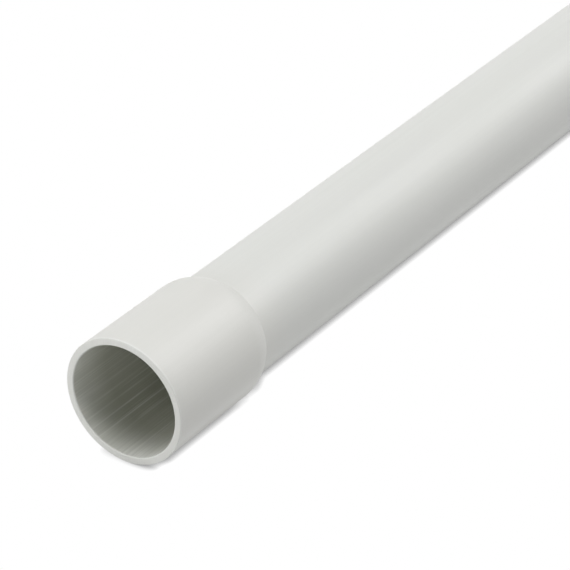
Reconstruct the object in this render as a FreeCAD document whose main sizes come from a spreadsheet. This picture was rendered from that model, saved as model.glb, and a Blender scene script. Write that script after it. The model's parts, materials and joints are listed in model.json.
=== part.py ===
"""Rigid PVC electrical conduit: one extruded tube whose end was heated and formed into a socket.

The pipe lies on a level floor. X runs along it, from the socket's mouth to the plain end, and Z is up.
The origin is halfway along, at the floor, straight below the pipe's centre line. All sizes are in mm.
The socket takes the plain end of the next length, and its shoulder is where that end comes to a stop.
"""

import FreeCAD, Part
import enum
import math
import os

import Sketcher

# Each driving size: its name, its value and what it is.
SIZES = (
    ("overall_length", 2000.0, "from the socket's mouth to the plain end"),
    ("pipe_diameter", 25.0, "outside of the tube"),
    ("pipe_wall", 1.8, "wall of the tube"),
    ("socket_gap", 0.1, "room round a plain end inside the socket, on the radius"),
    ("socket_wall", 1.6, "wall of the socket, thinned by the forming"),
    ("socket_depth", 27.5, "straight part of the socket, from its mouth"),
    ("shoulder_length", 5.5, "from the end of the straight part to the foot of the shoulder"),
    ("foot_radius", 0.8, "hollow round where the shoulder meets the tube outside"),
    ("throat_radius", 0.8, "round where the shoulder meets the tube's bore"),
    ("rim_round", 0.2, "round on the mouth's outer edge"),
    ("lead_in", 0.2, "bevel on the mouth's inner edge"),
    ("end_bevel", 0.3, "bevel on the plain end's outer edge"),
)

# What the driving sizes give, in the words of the sheet.
TUBE_RADIUS = "Sizes.pipe_diameter / 2"
BORE_RADIUS = "Sizes.pipe_diameter / 2 - Sizes.pipe_wall"
SOCKET_BORE_RADIUS = "Sizes.pipe_diameter / 2 + Sizes.socket_gap"
SOCKET_RADIUS = "Sizes.pipe_diameter / 2 + Sizes.socket_gap + Sizes.socket_wall"
SHOULDER_FOOT = "Sizes.socket_depth + Sizes.shoulder_length"


class Point(enum.IntEnum):
    """The points of a sketch's element, as its constraints number them."""

    START = 1
    END = 2
    CENTRE = 3


class Axis(enum.IntEnum):
    """A sketch's own axes, as its constraints number them. The level one starts at the sketch's origin."""

    LEVEL = -1
    UPRIGHT = -2


def make_sheet(doc):
    """The spreadsheet that holds the driving sizes."""
    sheet = doc.addObject("Spreadsheet::Sheet", "Sizes")
    for row, (name, value, meaning) in enumerate(SIZES, start=1):
        sheet.set(f"A{row}", name)
        sheet.set(f"B{row}", str(value))
        sheet.setAlias(f"B{row}", name)
        sheet.set(f"C{row}", meaning)
    doc.recompute()
    return sheet


def new_sketch(body, name, plane_role):
    """A sketch on one of the body's own origin planes."""
    sketch = body.newObject("Sketcher::SketchObject", name)
    plane = next(p for p in body.Origin.OriginFeatures if p.Role == plane_role)
    sketch.AttachmentSupport = (plane, [""])
    sketch.MapMode = "FlatFace"
    return sketch


def drive(sketch, name, expression, constraint):
    """Adds a dimension to a sketch and binds it to the sheet."""
    index = sketch.addConstraint(constraint)
    sketch.renameConstraint(index, name)
    sketch.setExpression(f"Constraints.{name}", expression)


def draw_tube_section(body, sizes):
    """The die's ring, at the foot of the shoulder, where the tube as extruded begins."""
    sketch = new_sketch(body, "tube_section", "YZ_Plane")
    sketch.setExpression("AttachmentOffset.Base.z", SHOULDER_FOOT)
    rings = (
        ("outside", TUBE_RADIUS, sizes.pipe_diameter / 2),
        ("bore", BORE_RADIUS, sizes.pipe_diameter / 2 - sizes.pipe_wall),
    )
    for name, expression, radius in rings:
        ring = sketch.addGeometry(Part.Circle(FreeCAD.Vector(), FreeCAD.Vector(0, 0, 1), radius))
        sketch.addConstraint(Sketcher.Constraint("Coincident", ring, Point.CENTRE, Axis.LEVEL, Point.START))
        drive(sketch, name, expression, Sketcher.Constraint("Radius", ring, radius))
    return sketch


def draw_shoulder(sketch, sizes, top, bottom, foot_size):
    """The S of one face of the shoulder: a crown that leaves the straight wall, and a round at its foot.

    The crown starts level at the socket's depth, top away from the centre line, and the round ends level at
    the shoulder's foot, bottom away from it. Both are arcs, and each one's start is where they meet.
    """
    run = sizes.shoulder_length
    drop = top - bottom
    foot_radius = getattr(sizes, foot_size)
    both_radii = (run**2 + drop**2) / (2 * drop)  # as the two arcs are tangent
    crown_radius = both_radii - foot_radius
    lean = math.atan2(both_radii - drop, run)
    normal = FreeCAD.Vector(0, 0, 1)

    crown_centre = FreeCAD.Vector(sizes.socket_depth, top - crown_radius, 0)
    crown_circle = Part.Circle(crown_centre, normal, crown_radius)
    crown = sketch.addGeometry(Part.ArcOfCircle(crown_circle, lean, math.pi / 2))
    foot_centre = FreeCAD.Vector(sizes.socket_depth + run, bottom + foot_radius, 0)
    foot_circle = Part.Circle(foot_centre, normal, foot_radius)
    foot = sketch.addGeometry(Part.ArcOfCircle(foot_circle, lean + math.pi, 3 * math.pi / 2))

    sketch.addConstraint(Sketcher.Constraint("Tangent", crown, Point.START, foot, Point.START))
    sketch.addConstraint(Sketcher.Constraint("Vertical", foot, Point.CENTRE, foot, Point.END))
    drive(sketch, foot_size, f"Sizes.{foot_size}", Sketcher.Constraint("Radius", foot, foot_radius))
    return crown, foot


def draw_socket_profile(body, sizes):
    """Half of the formed end's section: the socket's wall, and the shoulder down to the tube."""
    tube = sizes.pipe_diameter / 2
    bore = tube - sizes.pipe_wall
    inside = tube + sizes.socket_gap
    outside = inside + sizes.socket_wall
    depth = sizes.socket_depth
    foot = depth + sizes.shoulder_length

    sketch = new_sketch(body, "socket_profile", "XZ_Plane")

    def line(x0, z0, x1, z1):
        return sketch.addGeometry(Part.LineSegment(FreeCAD.Vector(x0, z0, 0), FreeCAD.Vector(x1, z1, 0)))

    def join(kind, *ends):
        sketch.addConstraint(Sketcher.Constraint(kind, *ends))

    rim = line(0, inside, 0, outside)
    outer_wall = line(0, outside, depth, outside)
    outer_crown, outer_foot = draw_shoulder(sketch, sizes, outside, tube, "foot_radius")
    tube_end = line(foot, tube, foot, bore)
    inner_crown, inner_foot = draw_shoulder(sketch, sizes, inside, bore, "throat_radius")
    inner_wall = line(depth, inside, 0, inside)

    join("Coincident", rim, Point.END, outer_wall, Point.START)
    join("Tangent", outer_wall, Point.END, outer_crown, Point.END)
    join("Coincident", outer_foot, Point.END, tube_end, Point.START)
    join("Coincident", tube_end, Point.END, inner_foot, Point.END)
    join("Tangent", inner_crown, Point.END, inner_wall, Point.START)
    join("Coincident", inner_wall, Point.END, rim, Point.START)
    join("PointOnObject", rim, Point.START, Axis.UPRIGHT)
    for upright in (rim, tube_end):
        join("Vertical", upright)
    for level in (outer_wall, inner_wall):
        join("Horizontal", level)

    def place(name, kind, expression, element, point, value):
        """Ties a point to the origin: DistanceX along the pipe, DistanceY out from its centre line."""
        origin = (Axis.LEVEL, Point.START)
        drive(sketch, name, expression, Sketcher.Constraint(kind, *origin, element, point, value))

    place("socket_outside", "DistanceY", SOCKET_RADIUS, outer_wall, Point.START, outside)
    place("socket_inside", "DistanceY", SOCKET_BORE_RADIUS, rim, Point.START, inside)
    place("tube_outside", "DistanceY", TUBE_RADIUS, tube_end, Point.START, tube)
    place("tube_bore", "DistanceY", BORE_RADIUS, tube_end, Point.END, bore)
    place("straight_outside", "DistanceX", "Sizes.socket_depth", outer_wall, Point.END, depth)
    place("straight_inside", "DistanceX", "Sizes.socket_depth", inner_wall, Point.START, depth)
    place("foot", "DistanceX", SHOULDER_FOOT, tube_end, Point.START, foot)
    return sketch


def ring_edge(shape, x, radius):
    """The name of the round edge of this radius, centred on the pipe's axis at x."""
    confusion = Part.Precision.confusion()
    for number, edge in enumerate(shape.Edges, start=1):
        ring = edge.Curve
        if not isinstance(ring, Part.Circle):
            continue
        if math.isclose(ring.Radius, radius) and math.isclose(ring.Center.x, x, abs_tol=confusion):
            return f"Edge{number}"
    raise RuntimeError(f"no round edge of radius {radius} at {x} along the pipe")


def soften(body, name, kind, size, x, radius):
    """Rounds or bevels one round edge of the body as built so far, to a size of the sheet."""
    base = body.Tip
    feature = body.newObject(f"PartDesign::{kind}", name)
    feature.Base = (base, [ring_edge(base.Shape, x, radius)])
    feature.setExpression("Radius" if kind == "Fillet" else "Size", f"Sizes.{size}")
    body.Tip = feature
    body.Document.recompute()


def make_pipe(doc, sizes):
    """The whole pipe, in one piece: the tube, the socket formed on it, and its worked edges."""
    tube_radius = sizes.pipe_diameter / 2
    socket_bore = tube_radius + sizes.socket_gap
    socket_radius = socket_bore + sizes.socket_wall

    body = doc.addObject("PartDesign::Body", "conduit_pipe")
    body.Label = "conduit_pipe"

    tube = body.newObject("PartDesign::Pad", "tube")
    tube.Profile = draw_tube_section(body, sizes)
    tube.setExpression("Length", f"Sizes.overall_length - ({SHOULDER_FOOT})")

    profile = draw_socket_profile(body, sizes)
    socket = body.newObject("PartDesign::Revolution", "socket")
    socket.Profile = profile
    socket.ReferenceAxis = (profile, ["H_Axis"])
    socket.Angle = 360
    socket.Refine = True
    body.Tip = socket
    doc.recompute()

    soften(body, "mouth_round", "Fillet", "rim_round", 0, socket_radius)
    soften(body, "mouth_lead_in", "Chamfer", "lead_in", 0, socket_bore)
    soften(body, "plain_end_bevel", "Chamfer", "end_bevel", sizes.overall_length, tube_radius)

    body.setExpression("Placement.Base.x", "-Sizes.overall_length / 2")
    body.setExpression("Placement.Base.z", SOCKET_RADIUS)
    doc.recompute()
    return body


def check(doc, pieces):
    """Stops the build if any object failed, or if a piece isn't one valid solid."""
    for item in doc.Objects:
        if "Invalid" in item.State or "Error" in item.State:
            raise RuntimeError(f"{item.Name} failed: {item.State}")
    for piece in pieces:
        shape = piece.Shape
        if shape.isNull() or not shape.isValid() or len(shape.Solids) != 1:
            raise RuntimeError(f"{piece.Label} isn't one valid solid")


def main():
    doc = FreeCAD.newDocument("conduit")
    sizes = make_sheet(doc)
    pieces = [make_pipe(doc, sizes)]
    check(doc, pieces)
    os.makedirs("parts", exist_ok=True)
    for piece in pieces:
        piece.Shape.exportStep(f"parts/{piece.Label}.step")
        box = piece.Shape.BoundBox
        print(
            f"{piece.Label}: {piece.Shape.Volume:.1f} mm3, x {box.XMin:.2f} to {box.XMax:.2f}, "
            f"y {box.YMin:.2f} to {box.YMax:.2f}, z {box.ZMin:.2f} to {box.ZMax:.2f}"
        )


main()
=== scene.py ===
"""The finish of a length of rigid PVC conduit, which lies on a pale studio floor, its socket near the camera.

One piece stands for the whole pipe: a fine turned mesh, with the lines that the die's mandrel left in its
bore and three finishes, for the outside, the bore and the sawn ends. Everything is in metres, in the frame of
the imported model: X runs along the pipe from the socket's mouth to the plain end, Z is up, and the floor is
at 0.
"""

import json
import math
import random

import bmesh
import bpy
from bpy.props import FloatProperty, FloatVectorProperty, IntProperty, PointerProperty
from mathutils import Matrix, Vector


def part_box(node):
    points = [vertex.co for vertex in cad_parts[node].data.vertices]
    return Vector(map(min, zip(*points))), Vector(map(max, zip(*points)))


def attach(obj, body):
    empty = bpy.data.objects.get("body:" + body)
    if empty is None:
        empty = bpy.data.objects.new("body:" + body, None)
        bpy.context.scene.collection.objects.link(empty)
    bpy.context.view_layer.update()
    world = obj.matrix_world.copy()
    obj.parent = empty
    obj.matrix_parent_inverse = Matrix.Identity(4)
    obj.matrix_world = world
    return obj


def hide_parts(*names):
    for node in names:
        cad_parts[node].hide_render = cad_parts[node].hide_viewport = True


bl_info = {
    "name": "Conduit pipe",
    "version": (1, 0, 0),
    "blender": (4, 5, 0),
    "location": "View3D > Sidebar > Conduit",
    "description": "Finishes a length of rigid PVC conduit and sets it on a studio floor",
    "category": "Add Mesh",
}

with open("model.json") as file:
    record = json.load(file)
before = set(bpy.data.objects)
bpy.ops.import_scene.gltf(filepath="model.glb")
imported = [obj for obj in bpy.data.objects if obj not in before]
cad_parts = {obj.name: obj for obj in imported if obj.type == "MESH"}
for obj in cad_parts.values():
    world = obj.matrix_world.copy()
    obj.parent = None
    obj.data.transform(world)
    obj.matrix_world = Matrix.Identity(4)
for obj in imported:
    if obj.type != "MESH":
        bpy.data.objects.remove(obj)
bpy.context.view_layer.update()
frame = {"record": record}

PIPE_NODE = "conduit_pipe"
PIPE_PIECE = "pvc_conduit"
MM = 0.001

# The pipe's own sizes, as the frame gives them.
LOW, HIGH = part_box(PIPE_NODE)
MOUNTS = {mount["name"]: mount for mount in frame["record"]["mounts"]}
CENTRE_HEIGHT = (LOW.z + HIGH.z) / 2
PIPE_LENGTH = HIGH.x - LOW.x
SOCKET_RADIUS = (HIGH.z - LOW.z) / 2
SOCKET_BORE_RADIUS = MOUNTS["socket"]["dims"]["r_mm"] * MM
SOCKET_BORE_LENGTH = MOUNTS["socket"]["dims"]["length_mm"] * MM
LEAD_IN = MOUNTS["socket"]["pos_m"][0] - LOW.x - SOCKET_BORE_LENGTH / 2
SOCKET_DEPTH = LEAD_IN + SOCKET_BORE_LENGTH
TUBE_RADIUS = MOUNTS["spigot"]["dims"]["r_mm"] * MM
BORE_RADIUS = MOUNTS["cable_bore"]["dims"]["r_mm"] * MM
SHOULDER_FOOT = PIPE_LENGTH - MOUNTS["cable_bore"]["dims"]["length_mm"] * MM


def length(name, description, default):
    """A size that a user can change, in metres."""
    return FloatProperty(
        name=name, description=description, default=default, min=0.0, precision=5, unit="LENGTH"
    )


def colour(name, description, default):
    """A colour that a user can change, in linear light."""
    return FloatVectorProperty(
        name=name, description=description, default=default, min=0.0, max=1.0, size=3, subtype="COLOR"
    )


def share(name, description, default):
    """A number from 0 to 1 that a user can change."""
    return FloatProperty(name=name, description=description, default=default, min=0.0, max=1.0)


def strength(name, description, default):
    """A strength of light that a user can change."""
    return FloatProperty(name=name, description=description, default=default, min=0.0)


def count(name, description, default, least):
    """A whole number that a user can change."""
    return IntProperty(name=name, description=description, default=default, min=least)


def angle(name, description, degrees):
    """An angle that a user can change."""
    return FloatProperty(name=name, description=description, default=math.radians(degrees), subtype="ANGLE")


class ConduitSizes(bpy.types.PropertyGroup):
    """The pipe's shape."""

    tube_radius: length("Tube radius", "Outside of the extruded tube", TUBE_RADIUS)
    bore_radius: length("Bore radius", "Inside of the extruded tube", BORE_RADIUS)
    socket_radius: length("Socket radius", "Outside of the formed socket", SOCKET_RADIUS)
    socket_bore: length("Socket bore", "Inside radius of the formed socket", SOCKET_BORE_RADIUS)
    socket_depth: length("Socket depth", "Straight part of the socket", SOCKET_DEPTH)
    shoulder_foot: length("Shoulder foot", "From the mouth to the end of the shoulder", SHOULDER_FOOT)
    foot_round: length("Foot round", "Round where the shoulder meets the tube, in its bore too", 0.8 * MM)
    rim_round: length("Rim round", "Round on the mouth's outer edge", 0.2 * MM)
    edge_round: length("Edge round", "Round on every other worked edge", 0.1 * MM)
    rim_fall: length("Rim fall", "How far the mouth's sawn face falls back towards its outer edge", 0.04 * MM)
    lead_in: length("Lead-in", "Bevel on the mouth's inner edge", LEAD_IN)
    end_bevel: length("End bevel", "Bevel on the plain end's outer edge", 0.3 * MM)
    die_lines: count("Die lines", "Even lines that the die's mandrel left in the bore", 38, 1)
    die_line_height: length("Die line height", "Height of the tallest line that the die left", 0.025 * MM)
    segments: count("Segments", "Faces round the pipe", 720, 24)
    ring_gap: length("Ring gap", "Longest face along the tube", 250 * MM)


class ConduitFinish(bpy.types.PropertyGroup):
    """The plastic's colours, gloss and fine relief."""

    outside: colour("Outside", "Colour of the outside", (0.70, 0.706, 0.68))
    heated: colour("Heated", "Colour of the socket, warmed a little by its forming", (0.704, 0.702, 0.672))
    outside_cloud: colour("Outside cloud", "Colour of faint clouds on the outside", (0.66, 0.69, 0.62))
    outside_line: colour("Outside line", "Colour of faint lines along the outside", (0.60, 0.61, 0.58))
    # Painted shade: the bore's colour is darker and more olive than the outside's, for the shade deep inside
    # the pipe.
    inside: colour("Inside", "Colour of the bore, which is duller than the outside", (0.51, 0.515, 0.455))
    # Painted light: the bore's colour at both ends, lighter than its middle, fading in over about 11 mm.
    mouth_light: colour("Wiped", "Colour of the bore at its mouths, where it is handled", (0.86, 0.865, 0.825))
    inside_cloud: colour("Inside cloud", "Colour of the bore's clouds", (0.44, 0.46, 0.37))
    inside_line: colour("Inside line", "Colour of the bore's dark lines", (0.36, 0.37, 0.33))
    # Painted highlight: the pale lines in the bore stand for its die lines catching light.
    streak_highlight: colour("Streak", "Colour of the pale lines in the bore", (0.88, 0.89, 0.85))
    cut: colour("Cut", "Colour of the sawn ends", (0.725, 0.73, 0.695))
    saw_mark: colour("Saw mark", "Colour of the marks on the sawn ends", (0.60, 0.60, 0.56))
    saw_pit: colour("Saw pit", "Colour of the pits in the sawn ends", (0.58, 0.58, 0.54))
    worn: colour("Worn", "Colour of rubbed edges and of dust", (0.78, 0.79, 0.77))
    outside_roughness: share("Outside roughness", "Roughness of the outside", 0.42)
    inside_roughness: share("Inside roughness", "Roughness of the bore", 0.38)
    cut_roughness: share("Cut roughness", "Roughness of the sawn ends", 0.6)
    wave_height: length("Wave height", "Slow waves that cooling leaves in the skin", 0.8 * MM)
    line_height: length("Line height", "Fine lines that the die leaves along the skin", 0.012 * MM)
    pit_height: length("Pit height", "Pits in the skin", 0.002 * MM)
    saw_height: length("Saw height", "Marks of the saw on the ends", 0.02 * MM)
    saw_pit_height: length("Saw pit height", "Pits in the sawn ends", 0.006 * MM)
    saw_fall: share("Saw fall", "Slope of the ends, eased towards their outer edge after the saw", 0.16)


class ConduitStage(bpy.types.PropertyGroup):
    """The camera, the light and the floor's shadow."""

    heading: angle("Heading", "Which way the camera looks, from +X towards +Y", 33.60)
    dip: angle("Dip", "How far the camera looks down", 30.11)
    field: angle("Field of view", "Width of the picture", 11.394)
    distance: length("Distance", "From the camera to the mouth's centre", 572 * MM)
    light: strength("Light", "Strength of all lamps together", 1.0)
    floor_glow: strength("Floor glow", "Light that the pale floor gives back besides the lamps' own", 0.34)
    mouth_shadow: length("Mouth shadow", "How far in front of the mouth its contact shadow starts", 1.1 * MM)
    rim_shadow: length("Rim shadow", "How far from the mouth's rim it starts", 1.75 * MM)
    socket_shadow: length("Socket shadow", "How far beside the socket it starts", 2.2 * MM)
    tube_shadow: length("Tube shadow", "How far beside the tube, a little higher, it starts", 2.9 * MM)
    nook_shadow: length("Nook shadow", "How far beside the tube it starts behind the shoulder", 3.65 * MM)
    lit_side: share("Lit side", "Share of the floor's shadow on the side that more light falls on", 0.5)
    darkest: share("Darkest floor", "Light that the floor keeps right under the pipe", 0.22)
    wide_shadow: length("Wide shadow", "How far round the pipe the floor gives it less light back", 6 * MM)


# Steps in the section's rounds: the shoulder's crown and foot, the mouth's outer edge, and every other edge.
CROWN_STEPS, FOOT_STEPS, RIM_STEPS, EDGE_STEPS = 12, 6, 5, 3
# Points of the turned mesh that lie nearer to each other than this are one.
MERGE_DISTANCE = 0.001 * MM


def rounded(corners):
    """A closed outline in which each (x, radius, round, steps) corner is an arc of its round."""
    points = []
    for i, (x, y, size, steps) in enumerate(corners):
        here = Vector((x, y))
        back = (Vector(corners[i - 1][:2]) - here).normalized()
        onward = (Vector(corners[(i + 1) % len(corners)][:2]) - here).normalized()
        half = back.angle(onward) / 2
        centre = here + (back + onward).normalized() * size / math.sin(half)
        start = here + back * size / math.tan(half) - centre
        turn = math.pi - 2 * half
        if start.cross(back) > 0:
            turn = -turn
        for step in range(steps + 1):
            points.append(centre + Matrix.Rotation(turn * step / steps, 2) @ start)
    return points


def shoulder_corners(sizes, top, bottom):
    """The two corners that, rounded, make the S of one face of the shoulder: the crown's and the foot's."""
    run = sizes.shoulder_foot - sizes.socket_depth
    drop = top - bottom
    both = (run**2 + drop**2) / (2 * drop)  # the two radii together
    crown = both - sizes.foot_round
    reach = math.tan(math.asin(run / both) / 2)  # from an arc's end to its corner, for a radius of 1
    return (
        (sizes.socket_depth + crown * reach, top, crown, CROWN_STEPS),
        (sizes.shoulder_foot - sizes.foot_round * reach, bottom, sizes.foot_round, FOOT_STEPS),
    )


def section(sizes):
    """The wall's section, as (x from the mouth, distance from the centre line), round the whole wall."""
    edge = (sizes.edge_round, EDGE_STEPS)
    crown, foot = shoulder_corners(sizes, sizes.socket_radius, sizes.tube_radius)
    seat, throat = shoulder_corners(sizes, sizes.socket_bore, sizes.bore_radius)
    return rounded([
        (sizes.rim_fall, sizes.socket_radius, sizes.rim_round, RIM_STEPS),
        crown,
        foot,
        (PIPE_LENGTH - sizes.end_bevel, sizes.tube_radius, *edge),
        (PIPE_LENGTH, sizes.tube_radius - sizes.end_bevel, *edge),
        (PIPE_LENGTH, sizes.bore_radius, *edge),
        throat,
        seat,
        (sizes.lead_in, sizes.socket_bore, *edge),
        (0.0, sizes.socket_bore + sizes.lead_in, *edge),
    ])


def turned_wall(sizes):
    """The pipe's wall as a closed mesh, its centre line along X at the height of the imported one."""
    bm = bmesh.new()
    ring = [bm.verts.new((LOW.x + p.x, 0.0, CENTRE_HEIGHT + p.y)) for p in section(sizes)]
    walls = [bm.edges.new((ring[i - 1], ring[i])) for i in range(len(ring))]
    for wall in walls:
        cuts = int(wall.calc_length() / sizes.ring_gap)
        if cuts:
            bmesh.ops.subdivide_edges(bm, edges=[wall], cuts=cuts)
    bmesh.ops.spin(
        bm,
        geom=bm.verts[:] + bm.edges[:],
        cent=(0.0, 0.0, CENTRE_HEIGHT),
        axis=(1.0, 0.0, 0.0),
        angle=math.tau,
        steps=sizes.segments,
        use_merge=True,
        use_duplicate=False,
    )
    bmesh.ops.remove_doubles(bm, verts=bm.verts[:], dist=MERGE_DISTANCE)
    bmesh.ops.recalc_face_normals(bm, faces=bm.faces[:])
    bm.normal_update()
    return bm


def outward(co):
    """From the centre line towards a point."""
    return Vector((0.0, co.y, co.z - CENTRE_HEIGHT))


def number_segments(bm, sizes):
    """Marks each vertex with the number of the segment that it lies at, from 0 at +Y up over the top."""
    layer = bm.verts.layers.int.new("segment")
    for vert in bm.verts:
        turn = math.atan2(vert.co.z - CENTRE_HEIGHT, vert.co.y) / math.tau
        vert[layer] = round(turn * sizes.segments) % sizes.segments
    return layer


# The mesh's layer that holds how much of a die line each vertex is on. The bore's finish reads it.
CREST = "crest"
# How squarely the skin must look at the centre line, as a cosine, to be the bore's and have its lines.
BORE_SIDE = 0.5

# The even lines in the bore, which the die's mandrel left. Places are in degrees from +Y up over the top.
EVEN_SEED = 3127
FIRST_LINE = 311
TALLEST_LINE = 309
TALL_REACH = 22  # how far from the tallest line the others are tall as well
LOW_LINE, TALL_GAIN = 0.15, 0.75  # height of the low ones, and how much more the tallest have
EVEN_SHIFT = (-0.03, 0.03)  # of the gap between two lines
EVEN_HEIGHT = (0.75, 1.0)
EVEN_WIDTH = (0.0024, 0.0032)  # of the way round

# The shallow lines and grooves between them, which have no order.
FINE_SEED = 7
FINE_COUNT = 60
FINE_WIDTH = (0.003, 0.009)
FINE_HEIGHT = (-0.3, 0.3)


def spread_bumps(sizes, bumps):
    """The height at each segment of (place, width, height) bumps, with places and widths in segments."""
    heights = [0.0] * sizes.segments
    for place, width, height in bumps:
        for number in range(int(place - 2 * width), int(place + 2 * width) + 1):
            heights[number % sizes.segments] += height * math.exp(-(((number - place) / width) ** 2) * 2)
    return heights


def even_lines(sizes):
    """The evenly spaced lines in the bore, 1 high at most.

    They are tallest on one side, low on the right as one looks into the socket, and so is the painted
    highlight on them.
    """
    rng = random.Random(EVEN_SEED)
    bumps = []
    for number in range(sizes.die_lines):
        place = FIRST_LINE + (number + rng.uniform(*EVEN_SHIFT)) * 360 / sizes.die_lines
        aside = (place - TALLEST_LINE + 180) % 360 - 180
        tall = math.exp(-((aside / TALL_REACH) ** 2))
        height = (LOW_LINE + TALL_GAIN * tall) * rng.uniform(*EVEN_HEIGHT)
        width = rng.uniform(*EVEN_WIDTH) * sizes.segments
        bumps.append((place / 360 * sizes.segments, width, height))
    return spread_bumps(sizes, bumps)


def fine_lines(sizes):
    """The heights of the shallow lines and grooves."""
    rng = random.Random(FINE_SEED)
    return spread_bumps(sizes, [
        (rng.uniform(0, sizes.segments), rng.uniform(*FINE_WIDTH) * sizes.segments, rng.uniform(*FINE_HEIGHT))
        for _ in range(FINE_COUNT)
    ])


def raise_die_lines(bm, sizes, segment):
    """Moves the bore's skin in and out by a few hundredths of a millimetre, alike all along the pipe."""
    even, fine = even_lines(sizes), fine_lines(sizes)
    crest = bm.verts.layers.float.new(CREST)
    for vert in bm.verts:
        out = outward(vert.co).normalized()
        if vert.normal.dot(out) < -BORE_SIDE:
            number = vert[segment]
            vert[crest] = even[number]
            vert.co -= out * (even[number] + fine[number]) * sizes.die_line_height


# The pipe's UV map. Its strips each take its full width, but for a margin at both sides, and these are their
# lowest and highest places, from 0 to 1.
MAP_NAME = "OFBake"
MAP_MARGIN = 0.002
OUTSIDE_STRIP = (0.015, 0.455)
MOUTH_STRIP = (0.475, 0.525)
INSIDE_STRIP = (0.545, 0.935)
PLAIN_END_STRIP = (0.950, 0.985)
# Where the points of a wall lie in its strip: (x from the mouth, place from 0 to 1). The socket and the sawn
# edges get more room.
STRIP_STOPS = (
    (0.0, 0.0),
    (1 * MM, 0.05),
    (40 * MM, 0.42),
    (PIPE_LENGTH - MM, 0.96),
    (PIPE_LENGTH, 1.0),
)
# How squarely a face must look along the pipe, as a cosine, to be an end's: in the map, and for its finish,
# which also takes in the bevels.
END_IN_MAP, END_IN_FINISH = 0.7, 0.6


def along_strip(x):
    """Where a point of a wall lies in its strip, from 0 to 1."""
    across = x - LOW.x
    for (x0, y0), (x1, y1) in zip(STRIP_STOPS, STRIP_STOPS[1:]):
        if across <= x1:
            break
    return y0 + (y1 - y0) * (across - x0) / (x1 - x0)


def lay_map(bm, sizes, segment):
    """A map of the pipe in strips: its walls unrolled, and its ends' rings laid straight."""
    uv = bm.loops.layers.uv.new(MAP_NAME)
    for face in bm.faces:
        corners = face.loops[:]
        steps = [loop.vert[segment] for loop in corners]
        wraps = max(steps) - min(steps) > 1
        end_on = abs(face.normal.x) > END_IN_MAP
        if end_on:
            low, high = MOUTH_STRIP if corners[0].vert.co.x < 0 else PLAIN_END_STRIP
        else:
            low, high = OUTSIDE_STRIP if face.normal.dot(outward(corners[0].vert.co)) > 0 else INSIDE_STRIP
        for loop, step in zip(corners, steps):
            if wraps and step == 0:
                step = sizes.segments
            if end_on:
                out = outward(loop.vert.co).length
                place = (out - sizes.bore_radius) / (sizes.socket_radius - sizes.bore_radius)
            else:
                place = along_strip(loop.vert.co.x)
            across = MAP_MARGIN + (1 - 2 * MAP_MARGIN) * step / sizes.segments
            loop[uv].uv = (across, low + (high - low) * place)


def add(tree, kind, inputs=(), **settings):
    """A shader node with its settings, and with some of its inputs set or linked."""
    made = tree.nodes.new(kind)
    for name, value in settings.items():
        setattr(made, name, value)
    for name, value in dict(inputs).items():
        if isinstance(value, bpy.types.NodeSocket):
            tree.links.new(value, made.inputs[name])
        else:
            made.inputs[name].default_value = value
    return made


def reckon(tree, operation, first, second=0.0, clamp=False):
    """One step of arithmetic on two numbers."""
    return add(tree, "ShaderNodeMath", {0: first, 1: second}, operation=operation, use_clamp=clamp).outputs[0]


def ramp(tree, value, low, high, to_low=0.0, to_high=1.0, fade="SMOOTHSTEP"):
    """A number that goes from one value to another while the given one goes from low to high."""
    inputs = {"Value": value, "From Min": low, "From Max": high, "To Min": to_low, "To Max": to_high}
    return add(tree, "ShaderNodeMapRange", inputs, interpolation_type=fade).outputs[0]


def blend(tree, share_of_second, first, second):
    """Two colours mixed."""
    return add(tree, "ShaderNodeMix", {0: share_of_second, 6: first, 7: second}, data_type="RGBA").outputs[2]


def place_of(tree):
    """The place on the object, in metres."""
    return add(tree, "ShaderNodeTexCoord").outputs["Object"]


def place_parts(tree):
    """The place on the object as three numbers, X, Y and Z."""
    return add(tree, "ShaderNodeSeparateXYZ", {0: place_of(tree)}).outputs


def distance_out(tree):
    """The distance from the pipe's centre line, in metres."""
    centre = {0: place_of(tree), 1: (0.0, 0.0, CENTRE_HEIGHT)}
    from_centre = add(tree, "ShaderNodeVectorMath", centre, operation="SUBTRACT").outputs[0]
    across = add(tree, "ShaderNodeVectorMath", {0: from_centre, 1: (0.0, 1.0, 1.0)}, operation="MULTIPLY")
    return add(tree, "ShaderNodeVectorMath", {0: across.outputs[0]}, operation="LENGTH").outputs["Value"]


# Parts of a noise's range of values, round its middle.
WIDE, NARROW = (0.3, 0.7), (0.35, 0.65)


def grain(tree, long, wide, detail):
    """Noise whose patches are long along the pipe and wide round it, in metres."""
    scale = (1 / long, 1 / wide, 1 / wide)
    mapped = add(tree, "ShaderNodeMapping", {"Vector": place_of(tree), "Scale": scale})
    inputs = {"Vector": mapped.outputs[0], "Scale": 1.0, "Detail": detail}
    return add(tree, "ShaderNodeTexNoise", inputs).outputs[0]


def veil(tree, noise, limits, most, under, tint):
    """A tint laid over a colour by a noise: not at all below its limits, and its most above them."""
    return blend(tree, ramp(tree, noise, *limits, 0.0, most), under, (*tint, 1.0))


def vary(tree, noise, most, value, clamp=False):
    """A number that a noise takes up and down by its most."""
    return reckon(tree, "ADD", ramp(tree, noise, *WIDE, -most, most), value, clamp=clamp)


def relief(tree, layers):
    """Bump from several layers of (height as a number, its size in metres), each laid over the one before."""
    normal = None
    for height, size in layers:
        inputs = {"Height": height, "Distance": size, "Strength": 1.0}
        if normal:
            inputs["Normal"] = normal
        normal = add(tree, "ShaderNodeBump", inputs).outputs[0]
    return normal


def near_ends(tree, reach, fade="SMOOTHSTEP"):
    """1 at the pipe's two ends, and 0 from reach metres away from them."""
    from_middle = reckon(tree, "ABSOLUTE", place_parts(tree)["X"])
    return ramp(tree, from_middle, HIGH.x - reach, HIGH.x, fade=fade)


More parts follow.
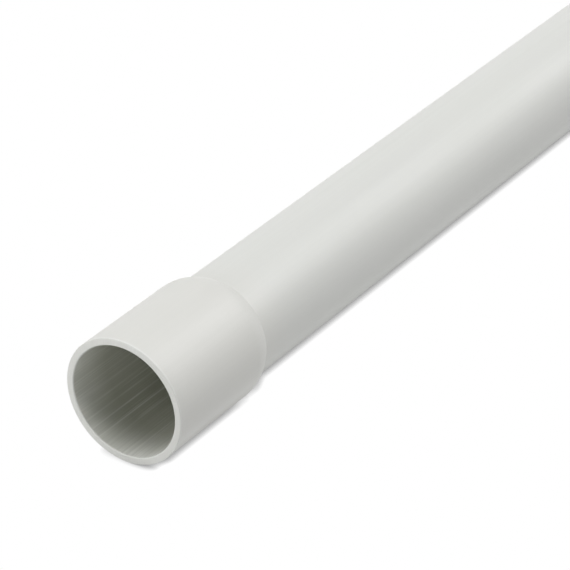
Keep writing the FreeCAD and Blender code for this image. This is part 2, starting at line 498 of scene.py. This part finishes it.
def edge_wear(tree, pits, reach):
    """How much the skin is rubbed at the pipe's ends, less so in its pits."""
    raised = ramp(tree, pits, 0.3, 0.6, to_low=0.35, to_high=0.9)
    return reckon(tree, "MULTIPLY", near_ends(tree, reach), raised)


PVC_IOR = 1.53
HEAT_REACH = 12 * MM  # how far past the shoulder the forming warmed the tube
WORN_OUTSIDE, WORN_INSIDE = 0.7 * MM, 0.5 * MM  # how far from the ends the skin is rubbed
WORN_ROUGHNESS = 0.2  # what the rubbing adds to the outside's
MOUTH_LIGHT_REACH = 11 * MM  # how far in from the ends the painted light in the bore reaches
SAW_TURN = math.radians(28)  # how far the saw's marks lean
SAW_GRAIN = (1 * MM, 0.22 * MM, 9 * MM)  # how deep, wide and long they are


def new_material(name):
    """A material with its shader still bare."""
    material = bpy.data.materials.new(name)
    material.use_nodes = True
    return material, material.node_tree, material.node_tree.nodes["Principled BSDF"]


def dress(tree, shader, tint, roughness, normal):
    """Links a plastic's colour, roughness and relief."""
    tree.links.new(tint, shader.inputs["Base Color"])
    tree.links.new(roughness, shader.inputs["Roughness"])
    tree.links.new(normal, shader.inputs["Normal"])
    shader.inputs["IOR"].default_value = PVC_IOR


def outside_material(finish):
    """Extruded skin: satin, with slow waves, fine lines along it and rubbed edges."""
    material, tree, shader = new_material("pvc outside")
    waves = grain(tree, 45 * MM, 22 * MM, detail=0.0)
    lines = grain(tree, 120 * MM, 0.5 * MM, detail=2.0)
    cloud = grain(tree, 60 * MM, 9 * MM, detail=3.0)
    pits = grain(tree, 0.25 * MM, 0.25 * MM, detail=2.0)

    cool, hot = LOW.x + SHOULDER_FOOT + HEAT_REACH, LOW.x + SOCKET_DEPTH
    formed = ramp(tree, place_parts(tree)["X"], cool, hot)
    tint = blend(tree, formed, (*finish.outside, 1.0), (*finish.heated, 1.0))
    clouded = veil(tree, cloud, WIDE, 0.10, tint, finish.outside_cloud)
    drawn = veil(tree, lines, NARROW, 0.06, clouded, finish.outside_line)
    rub = edge_wear(tree, pits, WORN_OUTSIDE)
    worn = blend(tree, rub, drawn, (*finish.worn, 1.0))

    rough = vary(tree, cloud, 0.03, vary(tree, lines, 0.05, finish.outside_roughness))
    rough = reckon(tree, "ADD", rough, reckon(tree, "MULTIPLY", rub, WORN_ROUGHNESS), clamp=True)
    bumps = ((waves, finish.wave_height), (lines, finish.line_height), (pits, finish.pit_height))
    dress(tree, shader, worn, rough, relief(tree, bumps))
    return material


def bore_material(finish):
    """The bore: highlights painted along the mandrel's lines, painted shade, and painted light at both ends.
    """
    material, tree, shader = new_material("pvc bore")
    lines = grain(tree, 90 * MM, 0.28 * MM, detail=1.0)
    fine = grain(tree, 60 * MM, 0.5 * MM, detail=2.0)
    breaks = grain(tree, 16 * MM, 1.5 * MM, detail=1.0)
    cloud = grain(tree, 30 * MM, 6 * MM, detail=3.0)
    pits = grain(tree, 0.3 * MM, 0.3 * MM, detail=2.0)

    # Painted light fading in from both ends over the bore's painted shade.
    lit_near_mouths = near_ends(tree, MOUTH_LIGHT_REACH, "LINEAR")
    mouth_light = blend(tree, lit_near_mouths, (*finish.inside, 1.0), (*finish.mouth_light, 1.0))
    clouded = veil(tree, cloud, WIDE, 0.3, mouth_light, finish.inside_cloud)
    drawn = veil(tree, fine, WIDE, 0.25, clouded, finish.inside_line)

    # Painted highlight: pale colour on the die lines' crests, broken up by noise, and on fine noise lines.
    crest = add(tree, "ShaderNodeAttribute", attribute_name=CREST).outputs["Fac"]
    rubbed = reckon(tree, "MULTIPLY", crest, ramp(tree, breaks, 0.35, 0.6, to_low=0.35, to_high=1.0))
    fine_highlight = ramp(tree, lines, 0.56, 0.72, to_low=0.0, to_high=0.4)
    broken_fine_highlight = reckon(tree, "MULTIPLY", fine_highlight, ramp(tree, breaks, 0.42, 0.62))
    streak_highlights = reckon(tree, "MAXIMUM", rubbed, broken_fine_highlight, clamp=True)
    highlighted = blend(tree, streak_highlights, drawn, (*finish.streak_highlight, 1.0))
    worn = blend(tree, edge_wear(tree, pits, WORN_INSIDE), highlighted, (*finish.worn, 1.0))

    rough = vary(tree, lines, 0.06, finish.inside_roughness, clamp=True)
    bumps = ((lines, finish.line_height), (pits, finish.pit_height))
    dress(tree, shader, worn, rough, relief(tree, bumps))
    return material


def sawn_material(finish):
    """A sawn end: pale and dull, with the saw's straight marks and a little dust in them."""
    material, tree, shader = new_material("pvc sawn end")
    turned = add(tree, "ShaderNodeMapping", {
        "Vector": place_of(tree),
        "Rotation": (SAW_TURN, 0.0, 0.0),
        "Scale": tuple(1 / size for size in SAW_GRAIN),
    })
    noise = {"Vector": turned.outputs[0], "Scale": 1.0, "Detail": 2.0}
    marks = add(tree, "ShaderNodeTexNoise", noise).outputs[0]
    pits = grain(tree, 0.2 * MM, 0.2 * MM, detail=3.0)
    cloud = grain(tree, 3 * MM, 3 * MM, detail=2.0)

    marked = veil(tree, marks, NARROW, 0.14, (*finish.cut, 1.0), finish.saw_mark)
    dusty = veil(tree, cloud, (0.4, 0.7), 0.25, marked, finish.worn)
    pitted = veil(tree, pits, (0.55, 0.75), 0.25, dusty, finish.saw_pit)
    rough = vary(tree, marks, 0.08, finish.cut_roughness, clamp=True)
    inward = reckon(tree, "MULTIPLY", distance_out(tree), -1.0)
    bumps = ((inward, finish.saw_fall), (marks, finish.saw_height), (pits, finish.saw_pit_height))
    dress(tree, shader, pitted, rough, relief(tree, bumps))
    return material


# The places of the three finishes in the pipe's list.
OUTSIDE, BORE, SAWN = range(3)


def share_out_finishes(bm):
    """Gives each face its finish: a sawn end's, the bore's or the outside's."""
    for face in bm.faces:
        face.smooth = True
        if abs(face.normal.x) > END_IN_FINISH:
            face.material_index = SAWN
        elif face.normal.dot(outward(face.verts[0].co)) < 0:
            face.material_index = BORE
        else:
            face.material_index = OUTSIDE


class CONDUIT_OT_pipe(bpy.types.Operator):
    """Make the pipe's wall and give it its finishes"""

    bl_idname = "conduit.pipe"
    bl_label = "Make the pipe"

    def execute(self, context):
        sizes = context.scene.conduit_sizes
        finish = context.scene.conduit_finish
        bm = turned_wall(sizes)
        segment = number_segments(bm, sizes)
        lay_map(bm, sizes, segment)
        share_out_finishes(bm)
        raise_die_lines(bm, sizes, segment)
        mesh = bpy.data.meshes.new(PIPE_PIECE)
        bm.to_mesh(mesh)
        bm.free()
        for material in (outside_material(finish), bore_material(finish), sawn_material(finish)):
            mesh.materials.append(material)
        pipe = bpy.data.objects.new(PIPE_PIECE, mesh)
        context.collection.objects.link(pipe)
        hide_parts(PIPE_NODE)
        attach(pipe, "root")
        return {"FINISHED"}


def add_camera(context, stage):
    """The camera, placed by where the mouth's centre stands in a picture of 570 by 570."""
    picture = 570.0
    mouth_across, mouth_down = 123.16, 402.23
    focal = picture / 2 / math.tan(stage.field / 2)
    forward = Vector((
        math.cos(stage.heading) * math.cos(stage.dip),
        math.sin(stage.heading) * math.cos(stage.dip),
        -math.sin(stage.dip),
    ))
    right = forward.cross(Vector((0, 0, 1))).normalized()
    up = right.cross(forward)
    across, down = mouth_across - picture / 2, mouth_down - picture / 2
    to_mouth = forward + right * across / focal - up * down / focal
    camera = bpy.data.cameras.new("camera")
    camera.sensor_width = 36.0
    camera.lens = camera.sensor_width * focal / picture
    camera.clip_start = 0.01
    camera.clip_end = 100.0
    holder = bpy.data.objects.new("camera", camera)
    context.collection.objects.link(holder)
    holder.location = Vector((LOW.x, 0.0, CENTRE_HEIGHT)) - to_mouth * stage.distance
    holder.rotation_euler = forward.to_track_quat("-Z", "Y").to_euler()
    context.scene.camera = holder


# The soft lamps: name, degrees from +Y towards +X, degrees above the floor, and strength.
LAMPS = (
    ("overhead", 0, 90, 2.17),
    ("mouth side", 300, 12, 1.42),
    ("far side", 120, 38, 0.97),
    ("near side", 240, 12, 0.33),
)
LAMP_SPREAD = math.radians(40)


def add_lamp(context, name, azimuth, elevation, energy):
    """A broad lamp far away, as seen from the pipe."""
    lamp = bpy.data.lights.new(name, "SUN")
    lamp.energy = energy
    lamp.angle = LAMP_SPREAD
    holder = bpy.data.objects.new(name, lamp)
    context.collection.objects.link(holder)
    a, e = math.radians(azimuth), math.radians(elevation)
    towards = Vector((math.sin(a) * math.cos(e), math.cos(a) * math.cos(e), math.sin(e)))
    holder.rotation_euler = towards.to_track_quat("Z", "Y").to_euler()


def seen(tree):
    """1 for the rays that show the floor or the world itself: camera, glossy and transmission rays."""
    path = add(tree, "ShaderNodeLightPath")
    glossy = reckon(tree, "ADD", path.outputs["Is Camera Ray"], path.outputs["Is Glossy Ray"])
    return reckon(tree, "ADD", glossy, path.outputs["Is Transmission Ray"], clamp=True)


# The floor's half width, and how far it is moved, so that no line of its mesh runs under the pipe.
FLOOR_REACH = 30.0
FLOOR_MOVE = (10.0, 0.0, 0.0)
FLOOR_GREY = (0.4, 0.4, 0.4, 1.0)

# Stretches along the pipe in which its contact shadow on the floor goes over to the next.
FOOT = LOW.x + SHOULDER_FOOT
AT_MOUTH = (LOW.x - 1.5 * MM, LOW.x + 1.5 * MM)
UNDER_MOUTH = (LOW.x + 2 * MM, LOW.x + 5.8 * MM)
AT_SHOULDER = (LOW.x + SOCKET_DEPTH, FOOT)
INTO_NOOK = (FOOT - 2.5 * MM, FOOT + 1.5 * MM)
OUT_OF_NOOK = (FOOT + 4 * MM, FOOT + 10 * MM)
BEHIND_SHOULDER = (FOOT, FOOT + 9 * MM)
AT_PLAIN_END = (HIGH.x - 6 * MM, HIGH.x + 1 * MM)
# The strip under the pipe, across it, in which the shadow goes over to the side that more light falls on.
TO_LIT_SIDE = (-2 * MM, 3 * MM)
# How deep the shadow is: what each stretch adds before it and after it.
SHADOW_DEPTHS = (
    (AT_MOUTH, 0.45, 0.82),
    (UNDER_MOUTH, 0.0, 0.33),
    (BEHIND_SHOULDER, 0.0, 0.65),
    (AT_PLAIN_END, 0.0, -1.1),
)
SHADOW_SAMPLES = 16


def add_up(tree, across, stretches):
    """A number that changes over several stretches, each with what it adds before it and after it."""
    total = 0.0
    for stretch, before, after in stretches:
        total = reckon(tree, "ADD", total, ramp(tree, across, *stretch, before, after))
    return total


def shadow_reach(tree, stage, across):
    """How far from the pipe its contact shadow starts, as the camera sees it, in metres."""
    reach = add_up(tree, across, (
        (AT_MOUTH, stage.mouth_shadow, stage.rim_shadow),
        (UNDER_MOUTH, 0.0, stage.socket_shadow - stage.rim_shadow),
        (AT_SHOULDER, 0.0, stage.tube_shadow - stage.socket_shadow),
    ))
    into_nook = ramp(tree, across, *INTO_NOOK, 0.0, stage.nook_shadow - stage.tube_shadow)
    nook = reckon(tree, "MULTIPLY", into_nook, ramp(tree, across, *OUT_OF_NOOK, 1.0, 0.0))
    return reckon(tree, "ADD", reach, nook)


def floor_light(tree, stage):
    """How light the floor is, from 1 in the open to its darkest under the pipe."""
    place = place_parts(tree)
    camera = add(tree, "ShaderNodeLightPath").outputs["Is Camera Ray"]
    close = reckon(tree, "MULTIPLY", camera, shadow_reach(tree, stage, place["X"]))
    wide = reckon(tree, "MULTIPLY", reckon(tree, "SUBTRACT", 1.0, camera), stage.wide_shadow)
    distance = reckon(tree, "ADD", close, wide)
    near = add(tree, "ShaderNodeAmbientOcclusion", {"Distance": distance}, samples=SHADOW_SAMPLES)
    shade = reckon(tree, "SUBTRACT", 1.0, near.outputs["AO"])
    side = ramp(tree, place["Y"], *TO_LIT_SIDE, 1.0, stage.lit_side)
    depth = reckon(tree, "MULTIPLY", add_up(tree, place["X"], SHADOW_DEPTHS), side)
    lit = reckon(tree, "SUBTRACT", 1.0, reckon(tree, "MULTIPLY", shade, depth))
    return reckon(tree, "MAXIMUM", lit, stage.darkest)


def floor_material(stage):
    """Pale matt floor. Seen, it is white, but for the shadow where the pipe lies on it."""
    material = bpy.data.materials.new("studio floor")
    material.use_nodes = True
    tree = material.node_tree
    tree.nodes.clear()
    open_floor = floor_light(tree, stage)
    paper = add(tree, "ShaderNodeBsdfDiffuse", {"Color": FLOOR_GREY})
    back = reckon(tree, "MULTIPLY", open_floor, stage.floor_glow * stage.light)
    glow = add(tree, "ShaderNodeEmission", {"Strength": back})
    unseen = add(tree, "ShaderNodeAddShader", {0: paper.outputs[0], 1: glow.outputs[0]})
    white = add(tree, "ShaderNodeEmission", {"Strength": open_floor})
    mix = add(tree, "ShaderNodeMixShader", {0: seen(tree), 1: unseen.outputs[0], 2: white.outputs[0]})
    add(tree, "ShaderNodeOutputMaterial", {"Surface": mix.outputs[0]})
    return material


def white_world():
    """White all round to the rays that see it, and no light of its own."""
    world = bpy.data.worlds.new("studio")
    world.use_nodes = True
    tree = world.node_tree
    tree.nodes.clear()
    dark = add(tree, "ShaderNodeBackground", {"Strength": 0.0})
    white = add(tree, "ShaderNodeBackground", {"Color": (1.0, 1.0, 1.0, 1.0), "Strength": 1.0})
    mix = add(tree, "ShaderNodeMixShader", {0: seen(tree), 1: dark.outputs[0], 2: white.outputs[0]})
    add(tree, "ShaderNodeOutputWorld", {"Surface": mix.outputs[0]})
    return world


class CONDUIT_OT_stage(bpy.types.Operator):
    """Set up the floor, the light and the camera"""

    bl_idname = "conduit.stage"
    bl_label = "Set the stage"

    def execute(self, context):
        stage = context.scene.conduit_stage
        bm = bmesh.new()
        moved = Matrix.Translation(FLOOR_MOVE)
        bmesh.ops.create_grid(bm, x_segments=1, y_segments=1, size=FLOOR_REACH, matrix=moved)
        mesh = bpy.data.meshes.new("studio_floor")
        bm.to_mesh(mesh)
        bm.free()
        mesh.materials.append(floor_material(stage))
        floor = bpy.data.objects.new("studio_floor", mesh)
        context.collection.objects.link(floor)
        context.scene.world = white_world()
        for name, azimuth, elevation, energy in LAMPS:
            add_lamp(context, name, azimuth, elevation, energy * stage.light)
        add_camera(context, stage)
        context.scene.view_settings.view_transform = "Standard"
        return {"FINISHED"}


class CONDUIT_PT_panel(bpy.types.Panel):
    """The pipe's sizes, finish and stage, in the 3D view's sidebar"""

    bl_idname = "CONDUIT_PT_panel"
    bl_label = "Conduit pipe"
    bl_space_type = "VIEW_3D"
    bl_region_type = "UI"
    bl_category = "Conduit"

    def draw(self, context):
        for group in (context.scene.conduit_sizes, context.scene.conduit_finish, context.scene.conduit_stage):
            column = self.layout.column(align=True)
            for name in group.__annotations__:
                column.prop(group, name)
        self.layout.operator("conduit.pipe")
        self.layout.operator("conduit.stage")


CLASSES = (
    ConduitSizes,
    ConduitFinish,
    ConduitStage,
    CONDUIT_OT_pipe,
    CONDUIT_OT_stage,
    CONDUIT_PT_panel,
)


def register():
    for cls in CLASSES:
        bpy.utils.register_class(cls)
    bpy.types.Scene.conduit_sizes = PointerProperty(type=ConduitSizes)
    bpy.types.Scene.conduit_finish = PointerProperty(type=ConduitFinish)
    bpy.types.Scene.conduit_stage = PointerProperty(type=ConduitStage)


def unregister():
    del bpy.types.Scene.conduit_stage
    del bpy.types.Scene.conduit_finish
    del bpy.types.Scene.conduit_sizes
    for cls in reversed(CLASSES):
        bpy.utils.unregister_class(cls)


def main():
    register()
    bpy.ops.conduit.pipe()
    bpy.ops.conduit.stage()


if __name__ == "__main__":
    main()
